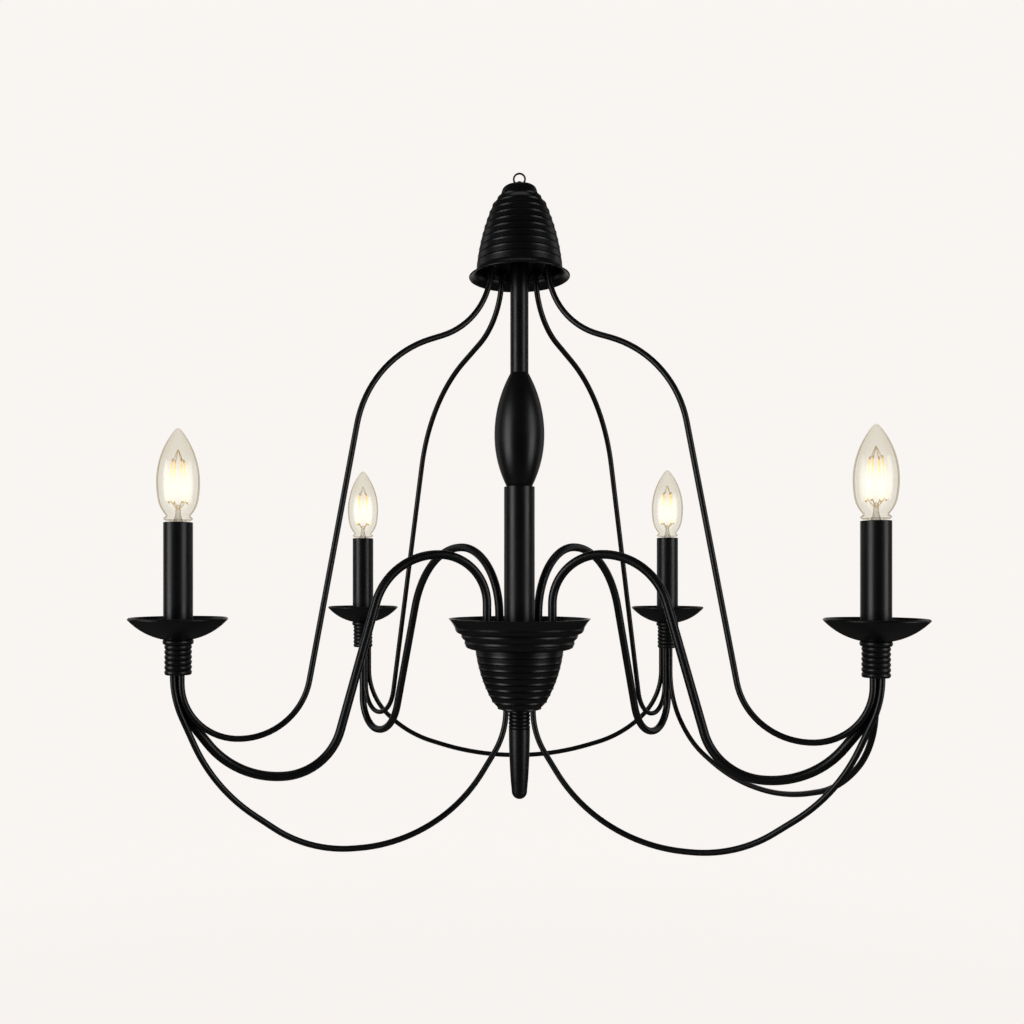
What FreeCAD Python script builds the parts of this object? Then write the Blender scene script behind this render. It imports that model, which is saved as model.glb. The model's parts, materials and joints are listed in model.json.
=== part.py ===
import FreeCAD
import Part

# Multi arm chandelier: four candle lamps on four of the five stations of a round hub, with thin bent rods
# from a bell down to the candles and hanging swags between them.
# Millimetres. +Z is up, -Y is the front, and the origin is the inside top of the hanging ring, which is the
# point that the hook of a ceiling chain bears on. A station's angle is measured from the front, about Z.
import math
import os
from FreeCAD import Vector

# ---------------------------------------------------------------- driving sizes
# Stations: five even places round the hub. The front one is left empty.
STATION_COUNT = 5
STATIONS = {"front_left": -1, "front_right": 1, "back_left": -2, "back_right": 2}
CANDLE_CIRCLE_R = 300.0      # hub axis to candle axis
ARM_CIRCLE_R = 31.0          # hub axis to the arms where they enter the bowl
ROD_CIRCLE_R = 27.0          # hub axis to the upper rods inside the bell

# Clearances
THREAD_CLEARANCE = 0.05      # radial, a thread in its nut or tapped hole
HOLE_CLEARANCE = 0.1         # radial, a rod or tube in a drilled hole
SLIP_CLEARANCE = 0.25        # radial, a tube slipped over another
SLEEVE_CLEARANCE = 0.5       # radial, a candle sleeve over its lampholder
STRAND_GAP = 0.4             # between a strand and the arm beside it under a collar

# Hanging ring and its eye
RING_WIRE = 1.7
RING_INNER_R = 4.3
EYE_BALL_R = 3.25
EYE_HOLE_CLEARANCE = 0.35
EYE_FLANGE_R = 4.6
EYE_FLANGE_THICKNESS = 1.0
EYE_SHANK_LENGTH = 14.0
RING_LIFT = 0.5              # gap between the ring's wire and the eye's flange

# Centre rod: hollow threaded pipe that clamps the column together
PIPE_OD = 10.0
PIPE_ID = 6.0
PIPE_WIRE_HOLE_R = 2.5
PIPE_IN_FINIAL = 18.0
COLUMN_NUT_FLATS = 14.0
COLUMN_NUT_HEIGHT = 5.0

# Bell, from the crown down
BELL_HEIGHT = 82.7
BELL_CROWN_R = 12.6
BELL_BROW_R = 15.8          # foot of the crown's rounded edge
BELL_BROW = 3.0              # crown down to that foot
BELL_TIER = 9.0              # plain tier above the rings
BELL_SHOULDER_R = 17.6
BELL_HIP_R = 25.9
BELL_HIP = 20.6              # crown down to the hip
BELL_HIP_BULGE = 0.9
BELL_FLANK_BULGE = 2.1
BELL_THROAT_R = 39.3
BELL_LIP_R = 46.0
BELL_LIP_DROP = 7.5          # throat to lip
BELL_RING_COUNT = 10

# Rings spun into the bell and the cup: a groove, a short upright lip and a slope
GROOVE_HEIGHT = 1.0
GROOVE_DEPTH = 0.7
LIP_HEIGHT = 1.4
SPUN_WALL = 1.2
CORD_HOLE_R = 2.6
CORD_HOLE_OFFSET = 8.0
GROMMET_LIP = 0.6        # radial, the bush's lip over its hole
GROMMET_LIP_HEIGHT = 1.0
GROMMET_BORE_R = 1.9
GROMMET_TAIL = 1.5       # plug below the sheet

# Rod plate inside the bell
ROD_PLATE_GAP = 2.0          # plate's edge to the bell's wall
ROD_PLATE_THICKNESS = 3.0
ROD_PLATE_RISE = 13.0        # lip to the plate's underside
ROD_END = 8.0                # a rod's end beyond the plate

# Column
STEM_OD = 16.6
STEM_LENGTH = 100.0
SPINDLE_LENGTH = 104.0
SPINDLE_TOP_R = 8.2
SPINDLE_R = 22.8
SPINDLE_FOOT_R = 11.4
SPINDLE_BELLY = 56.6         # spindle top down to its widest place
SPINDLE_WALL = 2.5
SPINDLE_COLLAR = 8.0         # solid length at each end of the hollow spindle
COLUMN_OD = 28.0
COLUMN_WALL = 1.6
COLUMN_CAP = 2.5
COLUMN_LENGTH = 129.5

# Arm plate and bowl
ARM_PLATE_R = 54.5
ARM_PLATE_THICKNESS = 3.0
ARM_END = 9.0                # an arm's end below the plate
BOWL_RECESS = 9.3            # plate top up to the bowl's rim
DISH_FLARE = 10.3            # rim beyond the arm plate
DISH_LEDGE = 3.4             # width of the ledge under the plate
DISH_HEIGHT = 28.4
DISH_FOOT = 0.8              # dish's foot beyond the cup's top
DISH_SEAT = 4.2              # width of the dish's seat on the cup
LIP_THICKNESS = 1.6
CUP_TOP_R = 40.2
CUP_KNEE_R = 24.4
CUP_KNEE = 47.6              # cup's top down to the knee
CUP_FLANK_BULGE = 2.6
CUP_KNEE_BULGE = 0.4
CUP_FLOOR_R = 17.0
CUP_HEIGHT = 54.8
CUP_RING_COUNT = 9
CUP_FLOOR = 1.6
NECK_R = 9.0
NECK_BEAD_COUNT = 5
NECK_BEAD_BULGE = 0.8
NECK_HEIGHT = 17.3
FINIAL_R = 9.7
FINIAL_TAPER_R = 8.0
FINIAL_TAPER = 46.8         # top down to the taper's end
FINIAL_BULGE = 0.35
FINIAL_TIP_R = 7.0
FINIAL_LENGTH = 64.3
FINIAL_BORE_SPARE = 2.0

# Steps down the outside of the dish: in from the arm plate's edge, down from the rim
DISH_STEPS = {"lip": (-4.5, 8.3), "bead": (-2.4, 12.8), "step": (1.3, 14.6), "band": (2.3, 18.1),
              "waist": (4.7, 20.4), "curve": (5.1, 24.2), "foot": (7.4, 27.0)}

# Strands: arm tubes, rods and swags
ARM_OD = 8.0
ARM_ID = 6.0
ROD_OD = 5.2
ROD_NUT_FLATS = 8.0
ROD_NUT_HEIGHT = 4.0
ARM_NUT_FLATS = 12.0
ARM_NUT_HEIGHT = 4.0
STRAND_SOCKET = 14.0         # depth of a rod's hole in a collar
COLLAR_DROP = 34.0           # arm plate top down to the collars' lower ends

# Bends of the arms: how high the arch rises over the plate, how far out it reaches from the hub, how far
# the leg's foot stands in from the candle, and how far the arm dips under the collar.
FRONT_ARM = {"rise": 67.3, "reach": 90.0, "leg": 125.0, "heel": 47.0, "dip": 89.2, "lift": 26.7}
BACK_ARM = {"rise": 76.8, "reach": 131.0, "leg": 68.0, "heel": 0.0, "dip": 91.7, "lift": 0.0}

# Bends of the upper rods: straight drop under the bell's plate, the shoulder's reach and drop from there,
# how far the leg's foot stands in from the rod's end, and how far the rod dips under the collar.
FRONT_ROD = {"drop": 53.8, "reach": 112.5, "shoulder": 95.0, "leg": 96.8, "dip": 54.7}
BACK_ROD = {"drop": 44.2, "reach": 126.0, "shoulder": 102.2, "leg": 57.0, "dip": 71.7}

# Front swags: they leave the bowl beside the neck, sag and rise to the outside of the front collars.
SWAG_CIRCLE_R = 12.9
SWAG_END = 7.0               # a swag's end inside the bowl

# Where each strand enters a collar, in degrees about the collar from inward, positive away from the front
FRONT_ROD_TURN = -68.0
FRONT_SWAG_TURN = -126.0
SIDE_SWAG_FRONT_TURN = 90.0
BACK_ROD_TURN = 0.0

FRONT_SWAG_STRAIGHT = 21.1   # straight stretch beside the neck
FRONT_SWAG_SLOPE = (41.0, 62.0)    # out and down from that stretch to the swag's first bend
FRONT_SWAG_BELLY = (101.6, 178.3)  # the flat belly's two ends, out from the swag's start
FRONT_SWAG_DIP = 154.6       # below the collar
FRONT_SWAG_RISE = (33.0, 95.7)     # the last slope's foot: in from the strand's end, below the collar
FRONT_SWAG_HEEL = 18.7       # straight drop under the collar

# Side and back swag, both alike: straight drop under the collar, first slope, belly.
CHORD_SWAG_HEEL = 56.7
CHORD_SWAG_SLOPE = (44.3, 43.8)
CHORD_SWAG_BELLY = (125.6, 68.3)

# Candles
COLLAR_HEIGHT = 29.5
COLLAR_R = 10.1
COLLAR_TOP_R = 11.6
COLLAR_BEAD_COUNT = 7
COLLAR_BEAD_BULGE = 1.0
BOBECHE_R = 40.0
BOBECHE_DEPTH = 17.5
BOBECHE_FLOOR_R = 12.8
BOBECHE_BULGE = 2.4
SLEEVE_OD = 24.0
SLEEVE_WALL = 0.9
SLEEVE_LENGTH = 95.6
HOLDER_WAIST_R = 8.9
HOLDER_TOP_GAP = 1.4         # lampholder below the sleeve's top
HOLDER_THREAD = 10.0         # an arm's end inside the lampholder
HOLDER_WEB = 4.0             # floor between the socket and the wire space
SOCKET_CLEARANCE = 0.4
SOCKET_SPARE = 1.0

# Bulb: 35 mm candle bulb with a 14 mm screw cap
BULB_R = 17.5
BULB_HEIGHT = 77.0           # bead to tip
BULB_BELLY = 32.0            # bead to the widest place
BULB_SHOULDER_R = 16.2
BULB_SHOULDER = 17.4         # bead to the lower shoulder
BULB_WAIST_BULGE = 1.0
BULB_TIP_R = 2.6
BULB_TIP_DROP = 1.4
BULB_NECK_R = 9.9
BULB_BEAD_R = 11.3
BULB_BEAD = 4.6              # height of the bead and the neck over it
BULB_LIFT = 1.5              # bead over the sleeve's top
BULB_STUB = 5.0              # glass inside the cap
GLASS_WALL = 0.8
CAP_R = 6.9
CAP_WALL = 0.5
CAP_LENGTH = 19.0
CAP_RIM = 2.0                # cap's rim below the bead
CAP_FLOOR = 2.5              # thickness of the cap's insulator
CONTACT_R = 3.0
CONTACT_HEIGHT = 2.2
FILAMENT_COUNT = 4
FILAMENT_R = 0.85
FILAMENT_LENGTH = 33.0
FILAMENT_FOOT = 16.0         # bead to the filaments' feet
FILAMENT_TOP_SPREAD = 5.4
FILAMENT_FOOT_SPREAD = 8.2
FILAMENT_APEX = 10.0         # filaments' tops up to where their wires meet
STEM_GLASS_R = 3.1
STEM_TIP_R = 2.0
STEM_DROP = 2.5              # filaments' feet down to the stem's top
SUPPORT_WIRE_R = 0.45

# Wiring inside
LEAD_OD = 3.6
BLOCK_WIDTH = 30.0
BLOCK_DEPTH = 12.0
BLOCK_HEIGHT = 11.0
BLOCK_SETBACK = 26.0         # hub axis to the block's middle, towards the empty front station
BLOCK_PITCH = 7.2
LEAD_LOOP = 15.0             # how far the leads hang under the block

# ---------------------------------------------------------------- levels, from the ring down
pivot_z = -(2 * RING_INNER_R + RING_WIRE / 2)
flange_top_z = pivot_z - RING_WIRE / 2 - RING_LIFT
crown_z = flange_top_z - EYE_FLANGE_THICKNESS
pipe_top_z = crown_z - SPUN_WALL
lip_z = crown_z - BELL_HEIGHT
brow_z = crown_z - BELL_BROW
tier_z = crown_z - BELL_TIER
hip_z = crown_z - BELL_HIP
throat_z = lip_z + BELL_LIP_DROP
rod_plate_z = lip_z + ROD_PLATE_RISE
spindle_top_z = rod_plate_z - STEM_LENGTH
column_top_z = spindle_top_z - SPINDLE_LENGTH
hub_z = column_top_z - COLUMN_LENGTH
ledge_z = hub_z - ARM_PLATE_THICKNESS
rim_z = hub_z + BOWL_RECESS
cup_top_z = rim_z - DISH_HEIGHT
knee_z = cup_top_z - CUP_KNEE
cup_floor_z = cup_top_z - CUP_HEIGHT
neck_foot_z = cup_floor_z - NECK_HEIGHT
pipe_foot_z = neck_foot_z - PIPE_IN_FINIAL
collar_foot_z = hub_z - COLLAR_DROP
collar_top_z = collar_foot_z + COLLAR_HEIGHT
dish_floor_z = collar_top_z + SPUN_WALL
sleeve_top_z = dish_floor_z + SLEEVE_LENGTH
holder_top_z = sleeve_top_z - HOLDER_TOP_GAP
bead_z = sleeve_top_z + BULB_LIFT
cap_top_z = bead_z - CAP_RIM
cap_foot_z = cap_top_z - CAP_LENGTH
socket_floor_z = cap_foot_z - CONTACT_HEIGHT - SOCKET_SPARE
web_foot_z = socket_floor_z - HOLDER_WEB
arm_top_z = dish_floor_z + HOLDER_THREAD

pipe_r = PIPE_OD / 2
arm_r = ARM_OD / 2
rod_r = ROD_OD / 2
strand_offset = arm_r + rod_r + STRAND_GAP
station_pitch = 360.0 / STATION_COUNT
chord_turn = 90.0 - station_pitch / 2    # between inward and the chord to the next station
lampholder_r = SLEEVE_OD / 2 - SLEEVE_WALL - SLEEVE_CLEARANCE


# ---------------------------------------------------------------- helpers
def station_angle(step):
    return math.radians(station_pitch * step)


def outward(angle):
    """Unit vector from the hub axis towards a station."""
    return Vector(math.sin(angle), -math.cos(angle), 0)


def candle_foot(step):
    return outward(station_angle(step)) * CANDLE_CIRCLE_R


def across(start, end, corners):
    """(reach, height) corners placed in the upright plane from one point to another."""
    direction = (end - start).normalize()
    return [start + direction * reach + Vector(0, 0, height) for reach, height in corners]


def collar_place(name, turn):
    """Where a strand enters a collar: turned from inward, away from the front, about the collar's axis."""
    side = 1 if STATIONS[name] > 0 else -1
    angle = station_angle(STATIONS[name]) + math.pi - side * math.radians(turn)
    return candle_foot(STATIONS[name]) + outward(angle) * strand_offset


def edge(start, end, bulge=0.0):
    """Straight edge in the XZ plane, or an arc that bulges to the left of its travel."""
    if not bulge:
        return Part.LineSegment(start, end).toShape()
    travel = (end - start).normalize()
    middle = (start + end) * 0.5 + Vector(-travel.z, 0, travel.x) * bulge
    return Part.Arc(start, middle, end).toShape()


def turned(outline):
    """Solid of revolution about Z. Each point is (radius, height) or (radius, height, bulge to the next)."""
    points = [Vector(point[0], 0, point[1]) for point in outline]
    bulges = [point[2] if len(point) > 2 else 0.0 for point in outline]
    edges = [edge(points[i - 1], points[i], bulges[i - 1]) for i in range(len(points))]
    face = Part.Face(Part.Wire(edges))
    return face.revolve(Vector(0, 0, 0), Vector(0, 0, 1), 360)


def beaded(radius, top_z, foot_z, count, bulge):
    """Outline down a straight flank of equal round beads."""
    pitch = (top_z - foot_z) / count
    return [(radius, top_z - pitch * k, bulge) for k in range(count)] + [(radius, foot_z)]


def radius_on(start, end, bulge, height):
    """Radius at a height on the arc between start and end, both (radius, height), that bulges outwards."""
    run, drop = end[0] - start[0], start[1] - end[1]
    chord = math.hypot(run, drop)
    arc_r = chord / 2 * chord / (4 * bulge) + bulge / 2
    centre_r = (start[0] + end[0]) / 2 - (arc_r - bulge) * drop / chord
    centre_z = (start[1] + end[1]) / 2 - (arc_r - bulge) * run / chord
    return centre_r + math.sqrt(arc_r ** 2 - (height - centre_z) ** 2)


def ringed(radius_at, narrow_z, wide_z, count):
    """Outline of a spun flank, from its narrow end: each ring is a groove, an upright lip and a slope."""
    pitch = (wide_z - narrow_z) / count
    way = math.copysign(1.0, pitch)
    outline = []
    for k in range(count):
        near_z = narrow_z + pitch * k
        far_z = near_z + pitch
        crest_z = near_z + way * (GROOVE_HEIGHT + LIP_HEIGHT)
        crest_r = radius_at(crest_z)
        outline += [(radius_at(near_z) - GROOVE_DEPTH, near_z), (crest_r, near_z + way * GROOVE_HEIGHT),
                    (crest_r, crest_z), (radius_at(far_z), far_z)]
    return outline


def cylinder(radius, foot_z, top_z, at=Vector(0, 0, 0)):
    return Part.makeCylinder(radius, top_z - foot_z, Vector(at.x, at.y, foot_z))


def hex_nut(flats, height, bore_r, at):
    corner = flats / math.sqrt(3)
    corners = [at + Vector(corner * math.cos(k * math.pi / 3), corner * math.sin(k * math.pi / 3), 0)
               for k in range(7)]
    body = Part.Face(Part.makePolygon(corners)).extrude(Vector(0, 0, height))
    return body.cut(Part.makeCylinder(bore_r, height, at))


def turn_at(points, i):
    """Angle by which the route turns at point i."""
    if i in (0, len(points) - 1):
        return 0.0
    return (points[i] - points[i - 1]).getAngle(points[i + 1] - points[i])


def route(points):
    """Wire of straight runs and tangent arcs. A run is shared by the bends at its two ends."""
    straight = 0.02
    edges = []
    at = points[0]
    for i in range(1, len(points) - 1):
        turn = turn_at(points, i)
        if turn < straight:
            continue
        before = points[i - 1] - points[i]
        after = points[i + 1] - points[i]
        room = [before.Length * (0.5 if turn_at(points, i - 1) > straight else 1.0),
                after.Length * (0.5 if turn_at(points, i + 1) > straight else 1.0)]
        tangent = min(room) * 0.99
        bend_r = tangent / math.tan(turn / 2)
        start = points[i] + before.normalize() * tangent
        end = points[i] + after.normalize() * tangent
        inward = (before + after).normalize()
        middle = points[i] + inward * (bend_r / math.cos(turn / 2) - bend_r)
        edges.append(Part.LineSegment(at, start).toShape())
        edges.append(Part.Arc(start, middle, end).toShape())
        at = end
    edges.append(Part.LineSegment(at, points[-1]).toShape())
    return Part.Wire(edges)


def strand(points, radius, bore_r=0.0):
    """Round bar or tube along a route."""
    path = route(points)
    start = points[0]
    along = points[1] - points[0]
    section = Part.Face(Part.Wire(Part.Circle(start, along, radius).toShape()))
    if bore_r:
        section = section.cut(Part.Face(Part.Wire(Part.Circle(start, along, bore_r).toShape()))).Faces[0]
    solid = path.makePipe(section)
    expected = section.Area * path.Length
    if abs(solid.Volume - expected) > expected * 0.01:
        print("strand volume is off:", solid.Volume, expected)
    return solid


def save(node, shape):
    shape.exportStep("parts/" + node + ".step")


# ---------------------------------------------------------------- hanging ring and eye
def make_hang_ring():
    return Part.makeTorus(RING_INNER_R + RING_WIRE / 2, RING_WIRE / 2, Vector(0, 0, -RING_INNER_R),
                          Vector(0, 1, 0))


def make_ring_eye():
    """Ball with a cross hole that flares both ways round the ring's curve, a flange and a screwed shank."""
    ball = Part.makeSphere(EYE_BALL_R, Vector(0, 0, pivot_z))
    flange = cylinder(EYE_FLANGE_R, crown_z, flange_top_z)
    shank = cylinder(PIPE_ID / 2 - THREAD_CLEARANCE, pipe_top_z - EYE_SHANK_LENGTH, crown_z + 0.5)
    ball_top = ball.common(cylinder(EYE_BALL_R * 2, crown_z + 0.2, 0))
    eye = ball_top.fuse([flange, shank]).removeSplitter()
    waist = RING_WIRE / 2 + EYE_HOLE_CLEARANCE
    flare_r = RING_INNER_R - EYE_HOLE_CLEARANCE
    half = EYE_BALL_R
    mouth = RING_INNER_R + RING_WIRE / 2 - math.sqrt(flare_r ** 2 - half ** 2)
    left = Vector(-half, 0, pivot_z + mouth)
    right = Vector(half, 0, pivot_z + mouth)
    edges = [Part.Arc(left, Vector(0, 0, pivot_z + waist), right).toShape(),
             Part.LineSegment(right, Vector(half, 0, pivot_z)).toShape(),
             Part.LineSegment(Vector(half, 0, pivot_z), Vector(-half, 0, pivot_z)).toShape(),
             Part.LineSegment(Vector(-half, 0, pivot_z), left).toShape()]
    hole = Part.Face(Part.Wire(edges)).revolve(Vector(0, 0, pivot_z), Vector(1, 0, 0), 360)
    below = cylinder(EYE_FLANGE_R * 2, flange_top_z - EYE_BALL_R * 2, flange_top_z)
    return eye.cut(hole.cut(below))


# ---------------------------------------------------------------- bell and what it hides
def bell_radius(height):
    """Radius of the bell's flank, which is two arcs that meet at the hip."""
    if height > hip_z:
        return radius_on((BELL_SHOULDER_R, tier_z), (BELL_HIP_R, hip_z), BELL_HIP_BULGE, height)
    return radius_on((BELL_HIP_R, hip_z), (BELL_THROAT_R, throat_z), BELL_FLANK_BULGE, height)


def make_bell():
    """Spun cap: flat crown, plain tier, spun rings and a flared lip, open below."""
    hole_r = PIPE_ID / 2 + HOLE_CLEARANCE
    outer = [(hole_r, crown_z), (BELL_CROWN_R, crown_z, 0.6), (BELL_BROW_R, brow_z),
             (BELL_SHOULDER_R, tier_z)]
    outer += ringed(bell_radius, tier_z, throat_z, BELL_RING_COUNT)[:-1]
    outer += [(BELL_THROAT_R, throat_z, -1.2), (BELL_LIP_R, lip_z + 1.0, 0.5),
              (BELL_LIP_R - 1.0, lip_z, 1.2)]
    inner = [(BELL_THROAT_R - SPUN_WALL, throat_z, -BELL_FLANK_BULGE),
             (BELL_HIP_R - SPUN_WALL, hip_z, -BELL_HIP_BULGE), (BELL_SHOULDER_R - SPUN_WALL, tier_z),
             (BELL_BROW_R - SPUN_WALL, brow_z - SPUN_WALL / 3, -0.5),
             (BELL_CROWN_R - SPUN_WALL / 2, pipe_top_z), (hole_r, pipe_top_z)]
    bell = turned(outer + inner)
    return bell.cut(cylinder(CORD_HOLE_R, pipe_top_z - SPUN_WALL, 0, Vector(0, CORD_HOLE_OFFSET, 0)))


def make_cord_grommet():
    """Press-in bush for a thin supply lead, with a lip on the crown."""
    plug_r = CORD_HOLE_R - THREAD_CLEARANCE
    lip_r = CORD_HOLE_R + GROMMET_LIP
    bush_top_z = crown_z + GROMMET_LIP_HEIGHT
    bush = turned([(GROMMET_BORE_R, bush_top_z), (lip_r - 0.3, bush_top_z, 0.1), (lip_r, crown_z + 0.4),
                   (lip_r, crown_z), (plug_r, crown_z), (plug_r, pipe_top_z - GROMMET_TAIL),
                   (GROMMET_BORE_R, pipe_top_z - GROMMET_TAIL)])
    bush.translate(Vector(0, CORD_HOLE_OFFSET, 0))
    return bush


def drilled(plate, circle_r, hole_r):
    for step in STATIONS.values():
        centre = outward(station_angle(step)) * circle_r
        plate = plate.cut(cylinder(hole_r, plate.BoundBox.ZMin - 1, plate.BoundBox.ZMax + 1, centre))
    return plate


def make_rod_plate():
    top_z = rod_plate_z + ROD_PLATE_THICKNESS
    plate = cylinder(bell_radius(top_z) - SPUN_WALL - ROD_PLATE_GAP, rod_plate_z, top_z)
    plate = plate.cut(cylinder(pipe_r + HOLE_CLEARANCE, rod_plate_z - 1, 0))
    return drilled(plate, ROD_CIRCLE_R, rod_r + HOLE_CLEARANCE)


def make_center_rod():
    pipe = cylinder(pipe_r, pipe_foot_z, pipe_top_z).cut(cylinder(PIPE_ID / 2, pipe_foot_z - 1, 0))
    for height in (rod_plate_z + BELL_HEIGHT / 2, ledge_z - COLUMN_NUT_HEIGHT * 2):
        pipe = pipe.cut(Part.makeCylinder(PIPE_WIRE_HOLE_R, PIPE_OD, Vector(0, 0, height), Vector(0, 1, 0)))
    return pipe


def make_column_nuts():
    """Nuts on the centre rod: on the rod plate and under the arm plate."""
    feet = [rod_plate_z + ROD_PLATE_THICKNESS, ledge_z - COLUMN_NUT_HEIGHT]
    return Part.makeCompound([hex_nut(COLUMN_NUT_FLATS, COLUMN_NUT_HEIGHT, pipe_r + THREAD_CLEARANCE,
                                      Vector(0, 0, foot)) for foot in feet])


def make_rod_nuts():
    """Nuts over and under the rod plate on each upper rod, and on each front swag inside the bowl."""
    places = []
    for step in STATIONS.values():
        centre = outward(station_angle(step)) * ROD_CIRCLE_R
        places.append(centre + Vector(0, 0, rod_plate_z + ROD_PLATE_THICKNESS))
        places.append(centre + Vector(0, 0, rod_plate_z - ROD_NUT_HEIGHT))
    for step in (STATIONS["front_left"], STATIONS["front_right"]):
        places.append(outward(station_angle(step)) * SWAG_CIRCLE_R + Vector(0, 0, cup_floor_z + CUP_FLOOR))
    return Part.makeCompound([hex_nut(ROD_NUT_FLATS, ROD_NUT_HEIGHT, rod_r + THREAD_CLEARANCE, place)
                              for place in places])


# ---------------------------------------------------------------- column
def make_upper_stem():
    tube = cylinder(STEM_OD / 2, spindle_top_z, rod_plate_z)
    return tube.cut(cylinder(pipe_r + SLIP_CLEARANCE, spindle_top_z - 1, 0))


def bulge_of(chord, depth):
    """Bulge of an arc on a chord, tangent at one end to the line that its other end is depth away from."""
    arc_r = chord ** 2 / (2 * depth)
    return arc_r - math.sqrt(arc_r ** 2 - (chord / 2) ** 2)


def upright_arc(belly, end):
    """Bulge of the arc between a belly and an end, both (radius, height), that is upright at the belly."""
    return bulge_of(math.dist(belly, end), belly[0] - end[0])


def make_spindle():
    """Hollow turned bulb, its two arcs upright where they meet at the belly."""
    belly_z = spindle_top_z - SPINDLE_BELLY
    top, belly = (SPINDLE_TOP_R, spindle_top_z), (SPINDLE_R, belly_z)
    foot = (SPINDLE_FOOT_R, column_top_z)
    bore_r = pipe_r + SLIP_CLEARANCE
    body = turned([(bore_r, spindle_top_z), top + (upright_arc(belly, top),),
                   belly + (upright_arc(belly, foot),), foot, (bore_r, column_top_z)])
    high = (SPINDLE_TOP_R, spindle_top_z - SPINDLE_COLLAR)
    wide = (SPINDLE_R - SPINDLE_WALL, belly_z)
    low = (SPINDLE_FOOT_R - SPINDLE_WALL, column_top_z + SPINDLE_COLLAR)
    hollow = turned([(0, high[1]), high + (upright_arc(wide, high),),
                     wide + (upright_arc(wide, low),), low, (0, low[1])])
    return body.cut(hollow)


def make_lower_column():
    """Wide tube with a closed top that carries the spindle."""
    outer_r = COLUMN_OD / 2
    bore_r = pipe_r + SLIP_CLEARANCE
    return turned([(bore_r, column_top_z), (outer_r, column_top_z), (outer_r, hub_z),
                   (outer_r - COLUMN_WALL, hub_z), (outer_r - COLUMN_WALL, column_top_z - COLUMN_CAP),
                   (bore_r, column_top_z - COLUMN_CAP)])


# ---------------------------------------------------------------- hub and bowl
def make_arm_plate():
    plate = cylinder(ARM_PLATE_R, ledge_z, hub_z).cut(cylinder(pipe_r + HOLE_CLEARANCE, ledge_z - 1, 0))
    return drilled(plate, ARM_CIRCLE_R, arm_r + HOLE_CLEARANCE)


def make_arm_nuts():
    """Nuts over and under the arm plate on each arm."""
    places = []
    for step in STATIONS.values():
        centre = outward(station_angle(step)) * ARM_CIRCLE_R
        places.append(centre + Vector(0, 0, hub_z))
        places.append(centre + Vector(0, 0, ledge_z - ARM_NUT_HEIGHT))
    return Part.makeCompound([hex_nut(ARM_NUT_FLATS, ARM_NUT_HEIGHT, arm_r + THREAD_CLEARANCE, place)
                              for place in places])


def make_bowl_dish():
    """Wide upper bowl in three bands. The arm plate rests on the ledge inside."""
    at = {step: (ARM_PLATE_R - inset, rim_z - drop) for step, (inset, drop) in DISH_STEPS.items()}
    rim_r = ARM_PLATE_R + DISH_FLARE
    ledge_r = ARM_PLATE_R - DISH_LEDGE
    seat_r = CUP_TOP_R - DISH_SEAT
    plate_r = ARM_PLATE_R + HOLE_CLEARANCE
    outer = [(rim_r, rim_z, -0.4), at["lip"] + (0.5,), at["bead"], at["step"] + (0.4,), at["band"],
             at["waist"] + (0.6,), at["curve"] + (0.6,), at["foot"] + (0.3,),
             (CUP_TOP_R + DISH_FOOT, cup_top_z)]
    inner = [(seat_r, cup_top_z), (seat_r, cup_top_z + SPUN_WALL),
             (at["foot"][0] - SPUN_WALL, at["foot"][1] + SPUN_WALL * 2 / 3),
             (at["curve"][0] - SPUN_WALL, at["curve"][1] + SPUN_WALL / 2),
             (at["waist"][0] - SPUN_WALL, at["waist"][1] + SPUN_WALL * 2 / 3),
             (ledge_r, at["band"][1] + SPUN_WALL), (ledge_r, ledge_z), (plate_r, ledge_z),
             (plate_r, ledge_z + ARM_PLATE_THICKNESS / 2),
             (at["lip"][0] - SPUN_WALL, at["lip"][1] + SPUN_WALL / 2), (rim_r - LIP_THICKNESS, rim_z)]
    return turned(outer + inner)


def cup_radius(height):
    """Radius of the cup's flank, which is two arcs that meet at the knee."""
    if height > knee_z:
        return radius_on((CUP_TOP_R, cup_top_z), (CUP_KNEE_R, knee_z), CUP_FLANK_BULGE, height)
    return radius_on((CUP_KNEE_R, knee_z), (CUP_FLOOR_R, cup_floor_z), CUP_KNEE_BULGE, height)


def make_bowl_cup():
    """Ringed lower bowl, open at the top, with a floor that the neck clamps."""
    bore_r = pipe_r + HOLE_CLEARANCE
    floor_top_z = cup_floor_z + CUP_FLOOR
    outer = list(reversed(ringed(cup_radius, cup_floor_z, cup_top_z, CUP_RING_COUNT)))
    floor_r = cup_radius(floor_top_z) - SPUN_WALL
    inner = [(bore_r, cup_floor_z), (bore_r, floor_top_z), (floor_r, floor_top_z),
             (CUP_KNEE_R - SPUN_WALL, knee_z, -CUP_FLANK_BULGE), (CUP_TOP_R - SPUN_WALL, cup_top_z)]
    cup = turned(outer + inner)
    for step in (STATIONS["front_left"], STATIONS["front_right"]):
        centre = outward(station_angle(step)) * SWAG_CIRCLE_R
        cup = cup.cut(cylinder(rod_r + HOLE_CLEARANCE, cup_floor_z - 1, floor_top_z + 1, centre))
    return cup


def make_bottom_neck():
    bore_r = pipe_r + HOLE_CLEARANCE
    outline = beaded(NECK_R, cup_floor_z, neck_foot_z, NECK_BEAD_COUNT, NECK_BEAD_BULGE)
    return turned(outline + [(bore_r, neck_foot_z), (bore_r, cup_floor_z)])


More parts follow.
